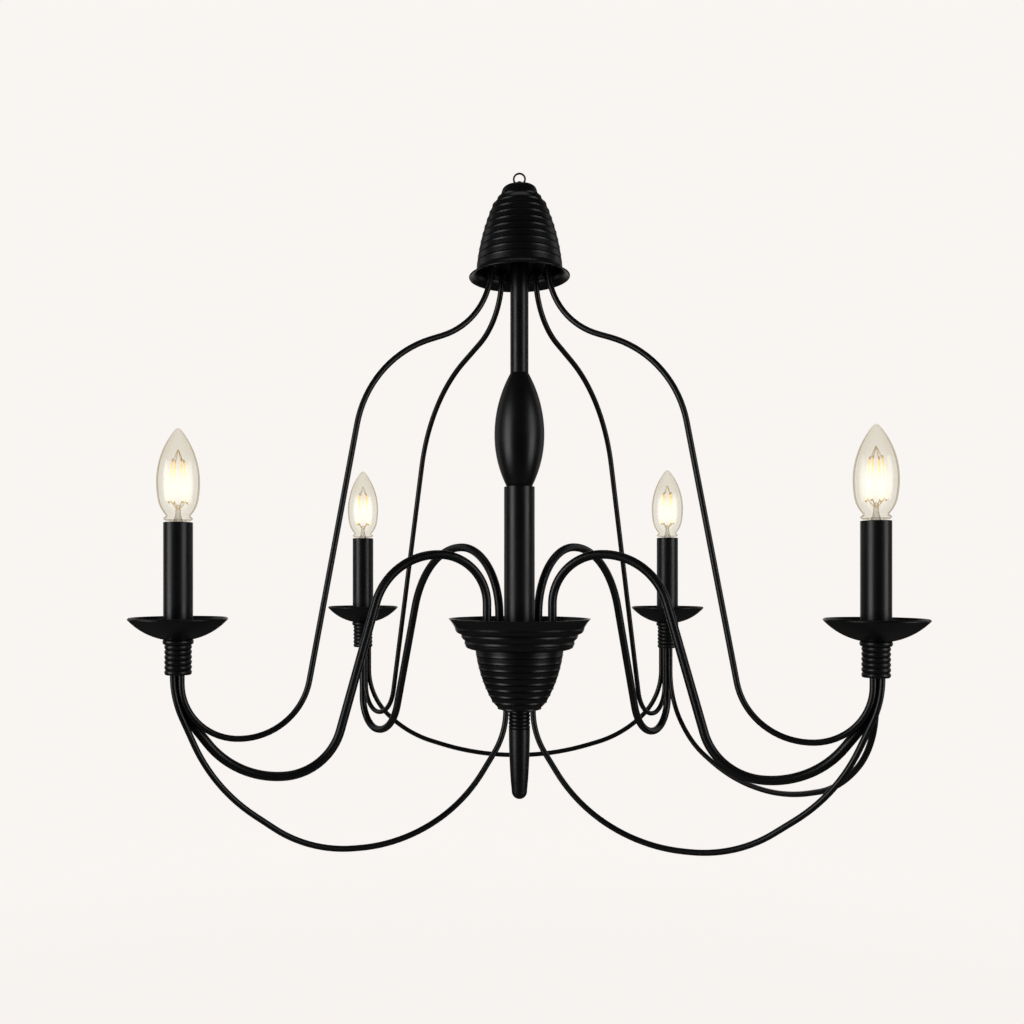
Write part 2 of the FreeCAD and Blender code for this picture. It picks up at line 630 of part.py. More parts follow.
def make_finial():
    """Long tapering knob, tapped for the centre rod."""
    tip_z = neck_foot_z - FINIAL_LENGTH
    bore_r = pipe_r + THREAD_CLEARANCE
    bore_z = pipe_foot_z - FINIAL_BORE_SPARE
    round_z = tip_z + FINIAL_TIP_R
    tip_bulge = FINIAL_TIP_R * (1 - math.sqrt(0.5))
    return turned([(bore_r, neck_foot_z), (FINIAL_R, neck_foot_z, FINIAL_BULGE),
                   (FINIAL_TAPER_R, neck_foot_z - FINIAL_TAPER), (FINIAL_TIP_R, round_z, tip_bulge),
                   (0, tip_z), (0, bore_z), (bore_r, bore_z)])


# ---------------------------------------------------------------- arms, rods and swags
def arm_route(name, end_z):
    """Corners of an arm's centre line, from its end under the arm plate to end_z over the collar."""
    bends = FRONT_ARM if name.startswith("front") else BACK_ARM
    start = outward(station_angle(STATIONS[name])) * ARM_CIRCLE_R
    end = candle_foot(STATIONS[name])
    span = start.distanceToPoint(end)
    arch_z = hub_z + bends["rise"]
    dip_z = collar_foot_z - bends["dip"]
    corners = [(0, ledge_z - ARM_END), (0, arch_z), (bends["reach"], arch_z), (span - bends["leg"], dip_z),
               (span - bends["heel"], dip_z)]
    if bends["heel"]:
        corners.append((span, collar_foot_z - bends["lift"]))
    return across(start, end, corners + [(span, collar_foot_z), (span, end_z)])


def make_arm(name):
    return strand(arm_route(name, arm_top_z), arm_r, ARM_ID / 2)


def rod_place(name):
    return collar_place(name, FRONT_ROD_TURN if name.startswith("front") else BACK_ROD_TURN)


def make_upper_rod(name):
    """Rod from the bell's plate out over its shoulder, down beside the arm and up into the collar."""
    bends = FRONT_ROD if name.startswith("front") else BACK_ROD
    start = outward(station_angle(STATIONS[name])) * ROD_CIRCLE_R
    end = rod_place(name)
    span = start.distanceToPoint(end)
    dip_z = collar_foot_z - bends["dip"]
    corners = [(0, rod_plate_z + ROD_PLATE_THICKNESS + ROD_END), (0, rod_plate_z - ROD_NUT_HEIGHT),
               (0, rod_plate_z - bends["drop"]), (bends["reach"], rod_plate_z - bends["shoulder"]),
               (span - bends["leg"], dip_z), (span, dip_z), (span, collar_foot_z),
               (span, collar_foot_z + STRAND_SOCKET)]
    return strand(across(start, end, corners), rod_r)


def make_front_swag(name):
    """Rod from the bowl's floor, down beside the neck and in one long sag to the collar's outer side."""
    start = outward(station_angle(STATIONS[name])) * SWAG_CIRCLE_R
    end = collar_place(name, FRONT_SWAG_TURN)
    span = start.distanceToPoint(end)
    bend_z = cup_floor_z - FRONT_SWAG_STRAIGHT
    belly_z = collar_foot_z - FRONT_SWAG_DIP
    corners = [(0, cup_floor_z + SWAG_END), (0, cup_floor_z), (0, bend_z),
               (FRONT_SWAG_SLOPE[0], bend_z - FRONT_SWAG_SLOPE[1]), (FRONT_SWAG_BELLY[0], belly_z),
               (FRONT_SWAG_BELLY[1], belly_z),
               (span - FRONT_SWAG_RISE[0], collar_foot_z - FRONT_SWAG_RISE[1]),
               (span, collar_foot_z - FRONT_SWAG_HEEL), (span, collar_foot_z),
               (span, collar_foot_z + STRAND_SOCKET)]
    return strand(across(start, end, corners), rod_r)


def make_chord_swag(start, end):
    """Rod that hangs in one upright plane between its places under two neighbouring collars."""
    span = start.distanceToPoint(end)
    half = [(0, STRAND_SOCKET), (0, 0.0), (0, -CHORD_SWAG_HEEL),
            (CHORD_SWAG_SLOPE[0], -CHORD_SWAG_HEEL - CHORD_SWAG_SLOPE[1]),
            (CHORD_SWAG_BELLY[0], -CHORD_SWAG_HEEL - CHORD_SWAG_BELLY[1])]
    corners = half + [(span - reach, drop) for reach, drop in reversed(half)]
    return strand(across(start, end, [(reach, collar_foot_z + drop) for reach, drop in corners]), rod_r)


def make_side_right_swag():
    start = collar_place("front_right", SIDE_SWAG_FRONT_TURN)
    return make_chord_swag(start, collar_place("back_right", -chord_turn))


def make_back_swag():
    return make_chord_swag(collar_place("back_left", chord_turn), collar_place("back_right", chord_turn))


# ---------------------------------------------------------------- candles
def strand_places(name):
    """Where the rods enter a collar."""
    front = name.startswith("front")
    turns = [FRONT_ROD_TURN, FRONT_SWAG_TURN] if front else [BACK_ROD_TURN, chord_turn]
    if name.endswith("right"):
        turns.append(SIDE_SWAG_FRONT_TURN if front else -chord_turn)
    return [collar_place(name, turn) for turn in turns]


def make_collar(name):
    """Beaded collar: the arm passes through it, and the rods end in blind holes in its foot."""
    bead = COLLAR_HEIGHT / COLLAR_BEAD_COUNT
    outline = beaded(COLLAR_TOP_R, collar_top_z, collar_top_z - bead, 1, COLLAR_BEAD_BULGE)
    outline += beaded(COLLAR_R, collar_top_z - bead, collar_foot_z, COLLAR_BEAD_COUNT - 1, COLLAR_BEAD_BULGE)
    outline += [(arm_r + HOLE_CLEARANCE, collar_foot_z), (arm_r + HOLE_CLEARANCE, collar_top_z)]
    collar = turned(outline)
    collar.translate(candle_foot(STATIONS[name]))
    for place in strand_places(name):
        collar = collar.cut(cylinder(rod_r + HOLE_CLEARANCE, collar_foot_z - 1,
                                     collar_foot_z + STRAND_SOCKET, place))
    return collar


def make_bobeche(name):
    """Shallow candle dish with a thin rolled edge, on top of the collar."""
    rim = collar_top_z + BOBECHE_DEPTH
    dish = turned([(arm_r + HOLE_CLEARANCE, collar_top_z), (arm_r + HOLE_CLEARANCE, dish_floor_z),
                   (BOBECHE_FLOOR_R - 0.4, dish_floor_z, -BOBECHE_BULGE),
                   (BOBECHE_R - LIP_THICKNESS, rim, 0.5), (BOBECHE_R, rim, 0.5),
                   (BOBECHE_R, rim - LIP_THICKNESS, BOBECHE_BULGE), (BOBECHE_FLOOR_R, collar_top_z)])
    dish.translate(candle_foot(STATIONS[name]))
    return dish


def make_lampholder(name):
    """Candle lampholder: tapped for the arm's end below, a wire space, and a socket above."""
    thread_r = arm_r + THREAD_CLEARANCE
    wire_r = ARM_ID / 2
    socket_r = CAP_R + SOCKET_CLEARANCE
    base_z = arm_top_z + 2.0
    head_z = web_foot_z - 3.0
    outline = [(thread_r, dish_floor_z), (lampholder_r, dish_floor_z), (lampholder_r, base_z),
               (HOLDER_WAIST_R, base_z + 2.0), (HOLDER_WAIST_R, head_z), (lampholder_r, head_z + 2.0),
               (lampholder_r, holder_top_z), (socket_r, holder_top_z), (socket_r, socket_floor_z),
               (0, socket_floor_z), (0, web_foot_z), (wire_r, web_foot_z), (wire_r, arm_top_z),
               (thread_r, arm_top_z)]
    holder = turned(outline)
    holder.translate(candle_foot(STATIONS[name]))
    return holder


def make_sleeve(name):
    outer_r = SLEEVE_OD / 2
    tube = turned([(outer_r - SLEEVE_WALL, sleeve_top_z, 0.3), (outer_r, sleeve_top_z),
                   (outer_r, dish_floor_z), (outer_r - SLEEVE_WALL, dish_floor_z)])
    tube.translate(candle_foot(STATIONS[name]))
    return tube


# ---------------------------------------------------------------- bulbs
def bulb_outline(inset):
    """Outline of the envelope from the tip down to the cap, moved in by inset."""
    tip_z = bead_z + BULB_HEIGHT - inset
    belly = (BULB_R - inset, bead_z + BULB_BELLY)
    shoulder = (BULB_SHOULDER_R - inset, bead_z + BULB_SHOULDER)
    tip = (BULB_TIP_R, tip_z - BULB_TIP_DROP)
    tip_bulge = bulge_of(math.hypot(BULB_TIP_R, BULB_TIP_DROP), BULB_TIP_DROP)
    return [(0, tip_z, tip_bulge), tip + (upright_arc(belly, tip),), belly + (upright_arc(belly, shoulder),),
            shoulder + (BULB_WAIST_BULGE,), (BULB_NECK_R - inset, bead_z + BULB_BEAD, -0.3),
            (BULB_BEAD_R - inset, bead_z + 2.6, 0.6), (BULB_BEAD_R - inset, bead_z + 1.0),
            (BULB_NECK_R - inset, bead_z + inset)]


def make_bulb_glass(name):
    """Blown envelope: long tip, belly, waist and bead, and a stub that the cap holds."""
    stub_r = CAP_R - CAP_WALL - HOLE_CLEARANCE
    stub_z = cap_top_z - BULB_STUB
    inner = list(reversed(bulb_outline(GLASS_WALL)))
    walls = [(stub_r, bead_z), (stub_r, stub_z), (stub_r - GLASS_WALL, stub_z),
             (stub_r - GLASS_WALL, bead_z + GLASS_WALL)]
    back = []
    for k, point in enumerate(inner):
        follower = inner[k + 1] if k + 1 < len(inner) else (0, 0)
        back.append((point[0], point[1], -follower[2] if len(follower) > 2 else 0.0))
    glass = turned(bulb_outline(0.0) + walls + back)
    glass.translate(candle_foot(STATIONS[name]))
    return glass


def make_bulb_cap(name):
    """Screw cap: a thin shell with its insulator and the centre contact."""
    shell = turned([(CAP_R - CAP_WALL, cap_top_z), (CAP_R, cap_top_z), (CAP_R, cap_foot_z + CAP_FLOOR),
                    (CONTACT_R + 1.5, cap_foot_z), (CONTACT_R, cap_foot_z),
                    (CONTACT_R - 0.6, cap_foot_z - CONTACT_HEIGHT), (0, cap_foot_z - CONTACT_HEIGHT),
                    (0, cap_foot_z + CAP_FLOOR), (CAP_R - CAP_WALL, cap_foot_z + CAP_FLOOR)])
    shell.translate(candle_foot(STATIONS[name]))
    return shell


def bar(start, end, radius):
    return Part.makeCylinder(radius, start.distanceToPoint(end), start, end - start)


def make_bulb_filament(name):
    """Glass mount with four upright filament strips, held by wires at their feet and tops."""
    foot_z = bead_z + FILAMENT_FOOT
    top_z = foot_z + FILAMENT_LENGTH
    stem_top_z = foot_z - STEM_DROP
    stem_foot_z = cap_foot_z + CAP_FLOOR
    mount = turned([(0, stem_top_z), (STEM_TIP_R, stem_top_z), (STEM_GLASS_R, bead_z),
                    (STEM_GLASS_R, stem_foot_z), (0, stem_foot_z)])
    apex = Vector(0, 0, top_z + FILAMENT_APEX)
    root = Vector(0, 0, stem_top_z - STEM_DROP)
    pieces = []
    for k in range(FILAMENT_COUNT):
        side = outward(math.pi / FILAMENT_COUNT + 2 * math.pi * k / FILAMENT_COUNT)
        foot = side * FILAMENT_FOOT_SPREAD + Vector(0, 0, foot_z)
        top = side * FILAMENT_TOP_SPREAD + Vector(0, 0, top_z)
        pieces.append(bar(foot, top, FILAMENT_R))
        pieces.append(bar(root, foot, SUPPORT_WIRE_R))
        pieces.append(bar(top, apex, SUPPORT_WIRE_R))
    mount = mount.fuse(pieces)
    mount.translate(candle_foot(STATIONS[name]))
    return mount


# ---------------------------------------------------------------- wiring
def make_terminal_block():
    """Connector under the arm plate, towards the empty station, with a bore for each arm's lead."""
    corner = Vector(-BLOCK_WIDTH / 2, -BLOCK_SETBACK - BLOCK_DEPTH / 2, ledge_z - BLOCK_HEIGHT)
    return Part.makeBox(BLOCK_WIDTH, BLOCK_DEPTH, BLOCK_HEIGHT, corner)


def make_arm_leads():
    """Twin lead of each arm: from the block, through the arm's bore, to the foot of the socket."""
    block_z = ledge_z - BLOCK_HEIGHT
    loop = Vector(0, 0, block_z - LEAD_LOOP)
    leads = []
    for place, name in zip((-1.5, 1.5, -0.5, 0.5), STATIONS):
        entry = Vector(place * BLOCK_PITCH, -BLOCK_SETBACK, 0)
        arm_end = outward(station_angle(STATIONS[name])) * ARM_CIRCLE_R
        points = [entry + Vector(0, 0, block_z), entry + loop, arm_end + loop]
        leads.append(strand(points + arm_route(name, web_foot_z), LEAD_OD / 2))
    return Part.makeCompound(leads)


# ---------------------------------------------------------------- all nodes
os.makedirs("parts", exist_ok=True)
save("hang_ring", make_hang_ring())
save("ring_eye", make_ring_eye())
save("bell", make_bell())
save("cord_grommet", make_cord_grommet())
save("rod_plate", make_rod_plate())
save("rod_nuts", make_rod_nuts())
save("center_rod", make_center_rod())
save("column_nuts", make_column_nuts())
save("upper_stem", make_upper_stem())
save("spindle", make_spindle())
save("lower_column", make_lower_column())
save("arm_plate", make_arm_plate())
save("arm_nuts", make_arm_nuts())
save("bowl_dish", make_bowl_dish())
save("bowl_cup", make_bowl_cup())
save("bottom_neck", make_bottom_neck())
save("finial", make_finial())
save("terminal_block", make_terminal_block())
save("arm_leads", make_arm_leads())
save("front_left_swag", make_front_swag("front_left"))
save("front_right_swag", make_front_swag("front_right"))
save("side_right_swag", make_side_right_swag())
save("back_swag", make_back_swag())
station_pieces = {"arm": make_arm, "upper_rod": make_upper_rod, "collar": make_collar,
                  "bobeche": make_bobeche, "lampholder": make_lampholder, "sleeve": make_sleeve,
                  "bulb_glass": make_bulb_glass, "bulb_cap": make_bulb_cap,
                  "bulb_filament": make_bulb_filament}
for station in STATIONS:
    for piece, make in station_pieces.items():
        save(station + "_" + piece, make(station))
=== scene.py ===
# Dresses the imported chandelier: satin black paint on the turned and bent metal, clear candle bulbs with lit
# strips and threaded caps, plated fixings, and a pale plain studio round it. Metres throughout.
import json
import math
import bmesh
import bpy
from mathutils import Matrix, Vector


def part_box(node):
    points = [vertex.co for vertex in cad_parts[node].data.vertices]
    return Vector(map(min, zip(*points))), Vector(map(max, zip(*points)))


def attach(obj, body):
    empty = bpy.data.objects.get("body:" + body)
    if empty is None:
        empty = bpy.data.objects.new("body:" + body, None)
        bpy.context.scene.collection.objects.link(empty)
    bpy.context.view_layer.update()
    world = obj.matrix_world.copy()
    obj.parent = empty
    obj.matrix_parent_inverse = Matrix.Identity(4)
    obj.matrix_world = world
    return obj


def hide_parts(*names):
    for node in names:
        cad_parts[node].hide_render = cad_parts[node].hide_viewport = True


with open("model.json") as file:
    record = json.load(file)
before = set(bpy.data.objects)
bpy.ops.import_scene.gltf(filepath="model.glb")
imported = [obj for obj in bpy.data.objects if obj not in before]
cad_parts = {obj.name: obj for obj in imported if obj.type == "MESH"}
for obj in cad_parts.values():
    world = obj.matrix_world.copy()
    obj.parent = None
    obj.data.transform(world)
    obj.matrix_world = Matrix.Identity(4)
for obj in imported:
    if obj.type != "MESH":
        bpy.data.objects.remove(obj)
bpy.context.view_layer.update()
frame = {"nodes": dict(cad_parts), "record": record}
nodes = frame["nodes"]

STATIONS = ("front_left", "front_right", "back_left", "back_right")


# ---------------------------------------------------------------- material helpers
class Finish:
    """A material whose nodes are added and wired in one line each."""

    def __init__(self, name):
        self.material = bpy.data.materials.new(name)
        self.material.use_nodes = True
        self.tree = self.material.node_tree
        self.shader = self.tree.nodes["Principled BSDF"]
        self.output = self.tree.nodes["Material Output"]
        self.place = self.add("ShaderNodeTexCoord").outputs["Object"]

    def add(self, kind, links=None, **values):
        node = self.tree.nodes.new(kind)
        for key, value in values.items():
            setattr(node, key, value)
        for socket, source in (links or {}).items():
            target = node.inputs[socket]
            if isinstance(source, bpy.types.NodeSocket):
                self.tree.links.new(source, target)
            else:
                target.default_value = source
        return node

    def set(self, **values):
        for name, value in values.items():
            self.shader.inputs[name.replace("_", " ")].default_value = value

    def link(self, source, name):
        self.tree.links.new(source, self.shader.inputs[name])

    def noise(self, scale, detail=3.0, rough=0.5, stretch=(1.0, 1.0, 1.0)):
        place = self.place
        if stretch != (1.0, 1.0, 1.0):
            place = self.add("ShaderNodeMapping", {"Vector": place, "Scale": stretch}).outputs["Vector"]
        node = self.add("ShaderNodeTexNoise", {"Vector": place, "Scale": scale, "Detail": detail,
                                               "Roughness": rough})
        return node.outputs["Fac"]

    def ramp(self, value, low, high, dark, light):
        node = self.add("ShaderNodeValToRGB", {"Fac": value})
        stops = node.color_ramp.elements
        stops[0].position, stops[1].position = low, high
        stops[0].color, stops[1].color = (*dark, 1.0), (*light, 1.0)
        return node.outputs["Color"]

    def spread(self, value, low, high, to_low, to_high):
        node = self.add("ShaderNodeMapRange", {"Value": value, "From Min": low, "From Max": high,
                                               "To Min": to_low, "To Max": to_high})
        return node.outputs["Result"]

    def bump(self, height, strength, distance, under=None):
        links = {"Height": height, "Strength": strength, "Distance": distance}
        if under is not None:
            links["Normal"] = under
        return self.add("ShaderNodeBump", links).outputs["Normal"]


class Surround(Finish):
    """The world's nodes, with the same one-line wiring."""

    def __init__(self, name):
        self.world = bpy.data.worlds.new(name)
        self.world.use_nodes = True
        self.tree = self.world.node_tree
        self.tree.nodes.clear()
        self.output = self.add("ShaderNodeOutputWorld")
        self.place = self.add("ShaderNodeTexCoord").outputs["Generated"]


def satin_black_paint():
    """Sprayed satin paint: near black, fine orange peel, faint rubbed patches and dust specks."""
    paint = Finish("satin_black_paint")
    cloud = paint.noise(38.0, 4.0, 0.6)
    peel = paint.noise(950.0, 2.0, 0.5)
    specks = paint.noise(2600.0, 1.0, 0.5)
    colour = paint.ramp(cloud, 0.3, 0.75, (0.0034, 0.0037, 0.0036), (0.0056, 0.0059, 0.0058))
    dust = paint.spread(specks, 0.70, 0.78, 0.0, 0.55)
    mixed = paint.add("ShaderNodeMix", {0: dust, 6: colour, 7: (0.02, 0.02, 0.02, 1.0)}, data_type="RGBA")
    paint.link(mixed.outputs[2], "Base Color")
    paint.link(paint.spread(cloud, 0.3, 0.7, 0.30, 0.39), "Roughness")
    fine = paint.bump(peel, 0.10, 0.0002)
    paint.link(paint.bump(specks, 0.04, 0.0001, fine), "Normal")
    paint.set(Specular_IOR_Level=0.46, IOR=1.48)
    return paint.material


def sleeve_paint():
    """The same paint on thin drawn tube: smoother, with faint draw lines along it."""
    paint = Finish("sleeve_paint")
    cloud = paint.noise(30.0, 3.0, 0.55)
    lines = paint.noise(900.0, 2.0, 0.5, (1.0, 1.0, 0.02))
    colour = paint.ramp(cloud, 0.3, 0.75, (0.0036, 0.0039, 0.0038), (0.0058, 0.0061, 0.0060))
    paint.link(colour, "Base Color")
    paint.link(paint.spread(cloud, 0.3, 0.7, 0.31, 0.38), "Roughness")
    paint.link(paint.bump(lines, 0.05, 0.0001), "Normal")
    paint.set(Specular_IOR_Level=0.5, IOR=1.48)
    return paint.material


def zinc_plate():
    zinc = Finish("zinc_plate")
    bloom = zinc.noise(260.0, 4.0, 0.65)
    grain = zinc.noise(1800.0, 2.0, 0.5)
    zinc.link(zinc.ramp(bloom, 0.3, 0.7, (0.42, 0.43, 0.43), (0.62, 0.61, 0.58)), "Base Color")
    zinc.link(zinc.spread(grain, 0.3, 0.7, 0.30, 0.48), "Roughness")
    zinc.link(zinc.bump(grain, 0.12, 0.0001), "Normal")
    zinc.set(Metallic=1.0)
    return zinc.material


def moulded_plastic(name, dark, light, rough):
    """Moulded plastic with a fine spark-eroded grain."""
    plastic = Finish(name)
    grain = plastic.noise(2200.0, 2.0, 0.6)
    cloud = plastic.noise(90.0, 3.0, 0.5)
    plastic.link(plastic.ramp(cloud, 0.3, 0.7, dark, light), "Base Color")
    plastic.link(plastic.spread(grain, 0.3, 0.7, rough - 0.06, rough + 0.08), "Roughness")
    plastic.link(plastic.bump(grain, 0.15, 0.0001), "Normal")
    plastic.set(IOR=1.5)
    return plastic.material


def cap_nickel():
    """Rolled and plated cap metal, slightly warm, with scuffs round it."""
    metal = Finish("cap_nickel")
    scuffs = metal.noise(420.0, 4.0, 0.7, (1.0, 1.0, 6.0))
    metal.link(metal.ramp(scuffs, 0.3, 0.7, (0.50, 0.45, 0.36), (0.74, 0.69, 0.58)), "Base Color")
    metal.link(metal.spread(scuffs, 0.3, 0.7, 0.18, 0.36), "Roughness")
    metal.link(metal.bump(scuffs, 0.06, 0.0001), "Normal")
    metal.set(Metallic=1.0)
    return metal.material


def along(finish, low, high):
    """Height in the piece, 0 at low and 1 at high."""
    height = finish.add("ShaderNodeSeparateXYZ", {0: finish.place}).outputs[2]
    return finish.add("ShaderNodeMapRange", {"Value": height, "From Min": low, "From Max": high},
                      interpolation_type="SMOOTHSTEP").outputs["Result"]


def product(finish, *values):
    result = values[0]
    for value in values[1:]:
        result = finish.add("ShaderNodeMath", {0: result, 1: value}, operation="MULTIPLY").outputs[0]
    return result


def bulb_glass(bead):
    """Thin clear envelope: faintly warm, denser at its outline, with a painted glow where the strips light
    it.
    """
    glass = Finish("bulb_glass")
    glass.tree.nodes.remove(glass.shader)
    edge = glass.add("ShaderNodeLayerWeight", {"Blend": 0.5}).outputs["Facing"]
    swirl = glass.noise(120.0, 2.0, 0.5)
    ripple = glass.add("ShaderNodeBump", {"Height": swirl, "Strength": 0.04, "Distance": 0.0003})
    tint = glass.add("ShaderNodeValToRGB", {"Fac": edge})
    stops = tint.color_ramp.elements
    stops[0].position, stops[0].color = 0.0, (0.972, 0.970, 0.952, 1.0)
    stops[1].position, stops[1].color = 1.0, (0.50, 0.46, 0.38, 1.0)
    for place, colour in ((0.66, (0.980, 0.972, 0.938, 1.0)), (0.82, (0.70, 0.66, 0.57, 1.0))):
        stops.new(place).color = colour
    upper = along(glass, bead + 0.040, bead + 0.060)
    smoked = glass.add("ShaderNodeMix", {0: upper, 6: (1.0, 1.0, 1.0, 1.0), 7: (0.982, 0.977, 0.968, 1.0)},
                       data_type="RGBA")
    tinted = glass.add("ShaderNodeMix", {0: 1.0, 6: tint.outputs["Color"], 7: smoked.outputs[2]},
                       data_type="RGBA", blend_type="MULTIPLY")
    clear = glass.add("ShaderNodeBsdfTransparent", {"Color": tinted.outputs[2]})
    gloss = glass.add("ShaderNodeBsdfGlossy", {"Color": (1.0, 0.98, 0.95, 1.0), "Roughness": 0.10,
                                               "Normal": ripple.outputs["Normal"]})
    fresnel = glass.add("ShaderNodeFresnel", {"IOR": 1.25})
    share = glass.add("ShaderNodeMath", {0: fresnel.outputs[0], 1: 0.04}, operation="MINIMUM")
    mixed = glass.add("ShaderNodeMixShader", {0: share.outputs[0], 1: clear.outputs[0],
                                              2: gloss.outputs[0]})
    # Painted glow: emission on the glass, strongest in the middle of its face and between the strips'
    # heights, stands in for the strips' light in the envelope.
    middle_of = glass.add("ShaderNodeMapRange", {"Value": edge, "From Min": 0.38, "From Max": 0.04},
                          interpolation_type="SMOOTHSTEP").outputs["Result"]
    lit = product(glass, middle_of, along(glass, bead + 0.006, bead + 0.026),
                  along(glass, bead + 0.056, bead + 0.030), 0.075)
    painted_glow = glass.add("ShaderNodeEmission", {"Color": (1.0, 0.93, 0.78, 1.0), "Strength": lit})
    both = glass.add("ShaderNodeAddShader", {0: mixed.outputs[0], 1: painted_glow.outputs[0]})
    glass.tree.links.new(both.outputs[0], glass.output.inputs["Surface"])
    return glass.material


def strip_glow(bead):
    """Phosphor strip lit from inside: white-hot low down and amber towards its top."""
    glow = Finish("strip_glow")
    cells = glow.noise(900.0, 2.0, 0.6)
    head = along(glow, bead + 0.032, bead + 0.050)
    hue = glow.ramp(head, 0.0, 1.0, (1.0, 0.80, 0.36), (0.93, 0.58, 0.20))
    grain = glow.spread(cells, 0.35, 0.65, 0.85, 1.0)
    low = along(glow, bead + 0.046, bead + 0.028)
    strength = glow.add("ShaderNodeMath", {0: product(glow, low, 1.2), 1: 1.0}, operation="ADD").outputs[0]
    glow.link(hue, "Emission Color")
    glow.link(hue, "Base Color")
    glow.link(product(glow, strength, grain), "Emission Strength")
    glow.set(Roughness=0.6)
    return glow.material


def mount_wire():
    """Nickel wire, tarnished, with a faint warm painted glow for the light of the strips."""
    wire = Finish("mount_wire")
    tarnish = wire.noise(700.0, 3.0, 0.6)
    wire.link(wire.ramp(tarnish, 0.3, 0.7, (0.56, 0.47, 0.34), (0.70, 0.60, 0.45)), "Base Color")
    wire.link(wire.spread(tarnish, 0.3, 0.7, 0.25, 0.45), "Roughness")
    # Painted glow: a faint warm emission stands in for the strips' light falling on the wire.
    wire.set(Metallic=0.3, Emission_Color=(1.0, 0.70, 0.36, 1.0), Emission_Strength=0.30)
    return wire.material


def stem_glass(bead):
    """Pressed glass of the stem: clear, with a warm painted glow where the strips light it, darker round its
    outline.
    """
    glass = Finish("stem_glass")
    seeds = glass.noise(900.0, 3.0, 0.6)
    glass.link(glass.ramp(seeds, 0.3, 0.7, (0.72, 0.60, 0.42), (0.88, 0.78, 0.60)), "Base Color")
    edge = glass.add("ShaderNodeLayerWeight", {"Blend": 0.5}).outputs["Facing"]
    glass.link(glass.spread(edge, 0.0, 1.0, 0.25, 0.85), "Alpha")
    # Painted glow: a warm emission that grows towards the stem's head stands in for the strips' light in the
    # stem.
    glass.set(Roughness=0.12, IOR=1.5, Emission_Color=(1.0, 0.74, 0.38, 1.0))
    glass.link(product(glass, along(glass, bead - 0.002, bead + 0.012), 0.16), "Emission Strength")
    return glass.material


BULB_HEIGHT = 0.077          # bead to tip
bead_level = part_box("front_left_bulb_glass")[1][2] - BULB_HEIGHT

finishes = {
    "black_paint": satin_black_paint(),
    "black_sleeve": sleeve_paint(),
    "zinc_steel": zinc_plate(),
    "black_plastic": moulded_plastic("black_moulding", (0.012, 0.012, 0.012), (0.02, 0.02, 0.02), 0.46),
    "white_plastic": moulded_plastic("pale_moulding", (0.66, 0.65, 0.60), (0.76, 0.75, 0.70), 0.42),
    "lead_insulation": moulded_plastic("lead_insulation", (0.02, 0.02, 0.02), (0.03, 0.03, 0.03), 0.35),
    "clear_glass": bulb_glass(bead_level),
    "cap_metal": cap_nickel(),
    "filament_glow": strip_glow(bead_level),
}

for part in frame["record"]["subparts"]:
    solid = nodes[part["node"]]
    solid.data.materials.clear()
    solid.data.materials.append(finishes[part["material_slot"]])


# ---------------------------------------------------------------- making pieces
def whole(name, mesh, finish, body, stands_for=()):
    """A finished piece at the origin that rides on its body."""
    piece = bpy.data.objects.new(name, mesh)
    bpy.context.collection.objects.link(piece)
    if finish is not None:
        mesh.materials.clear()
        mesh.materials.append(finish)
    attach(piece, body)
    if stands_for:
        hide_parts(*stands_for)
    return piece


def lathe(outline, centre, steps=64, closed=False):
    """Mesh turned about a vertical axis through centre from (radius, height) points, outside first."""
    work = bmesh.new()
    rings = []
    for radius, height in outline:
        if radius < 1e-7:
            rings.append([work.verts.new((centre[0], centre[1], height))])
            continue
        rings.append([work.verts.new((centre[0] + radius * math.cos(2 * math.pi * k / steps),
                                      centre[1] + radius * math.sin(2 * math.pi * k / steps), height))
                      for k in range(steps)])
    pairs = list(zip(rings, rings[1:]))
    if closed:
        pairs.append((rings[-1], rings[0]))
    for above, below in pairs:
        for k in range(steps):
            n = (k + 1) % steps
            if len(above) == 1 and len(below) == 1:
                continue
            if len(above) == 1:
                work.faces.new((above[0], below[k], below[n]))
            elif len(below) == 1:
                work.faces.new((above[n], above[k], below[0]))
            else:
                work.faces.new((above[n], above[k], below[k], below[n]))
    bmesh.ops.recalc_face_normals(work, faces=work.faces)
    mesh = bpy.data.meshes.new("turned")
    work.to_mesh(mesh)
    work.free()
    smooth(mesh, 40.0)
    return mesh


def smooth(mesh, angle):
    mesh.shade_smooth()
    mesh.set_sharp_from_angle(angle=math.radians(angle))


def arc_points(start, end, bulge, count):
    """(radius, height) points from start to end on an arc that stands bulge proud on the left."""
    run = Vector((end[0] - start[0], end[1] - start[1]))
    left = Vector((-run.y, run.x)).normalized()
    half = run.length / 2
    if abs(bulge) < 1e-9:
        return [start, end]
    arc_r = (half ** 2 + bulge ** 2) / (2 * bulge)
    middle = (Vector(start) + Vector(end)) / 2 + left * (bulge - arc_r)
    first = Vector(start) - middle
    sweep = first.angle(Vector(end) - middle) * (-1 if bulge > 0 else 1)
    return [tuple(middle + Matrix.Rotation(sweep * k / count, 2) @ first) for k in range(count + 1)]


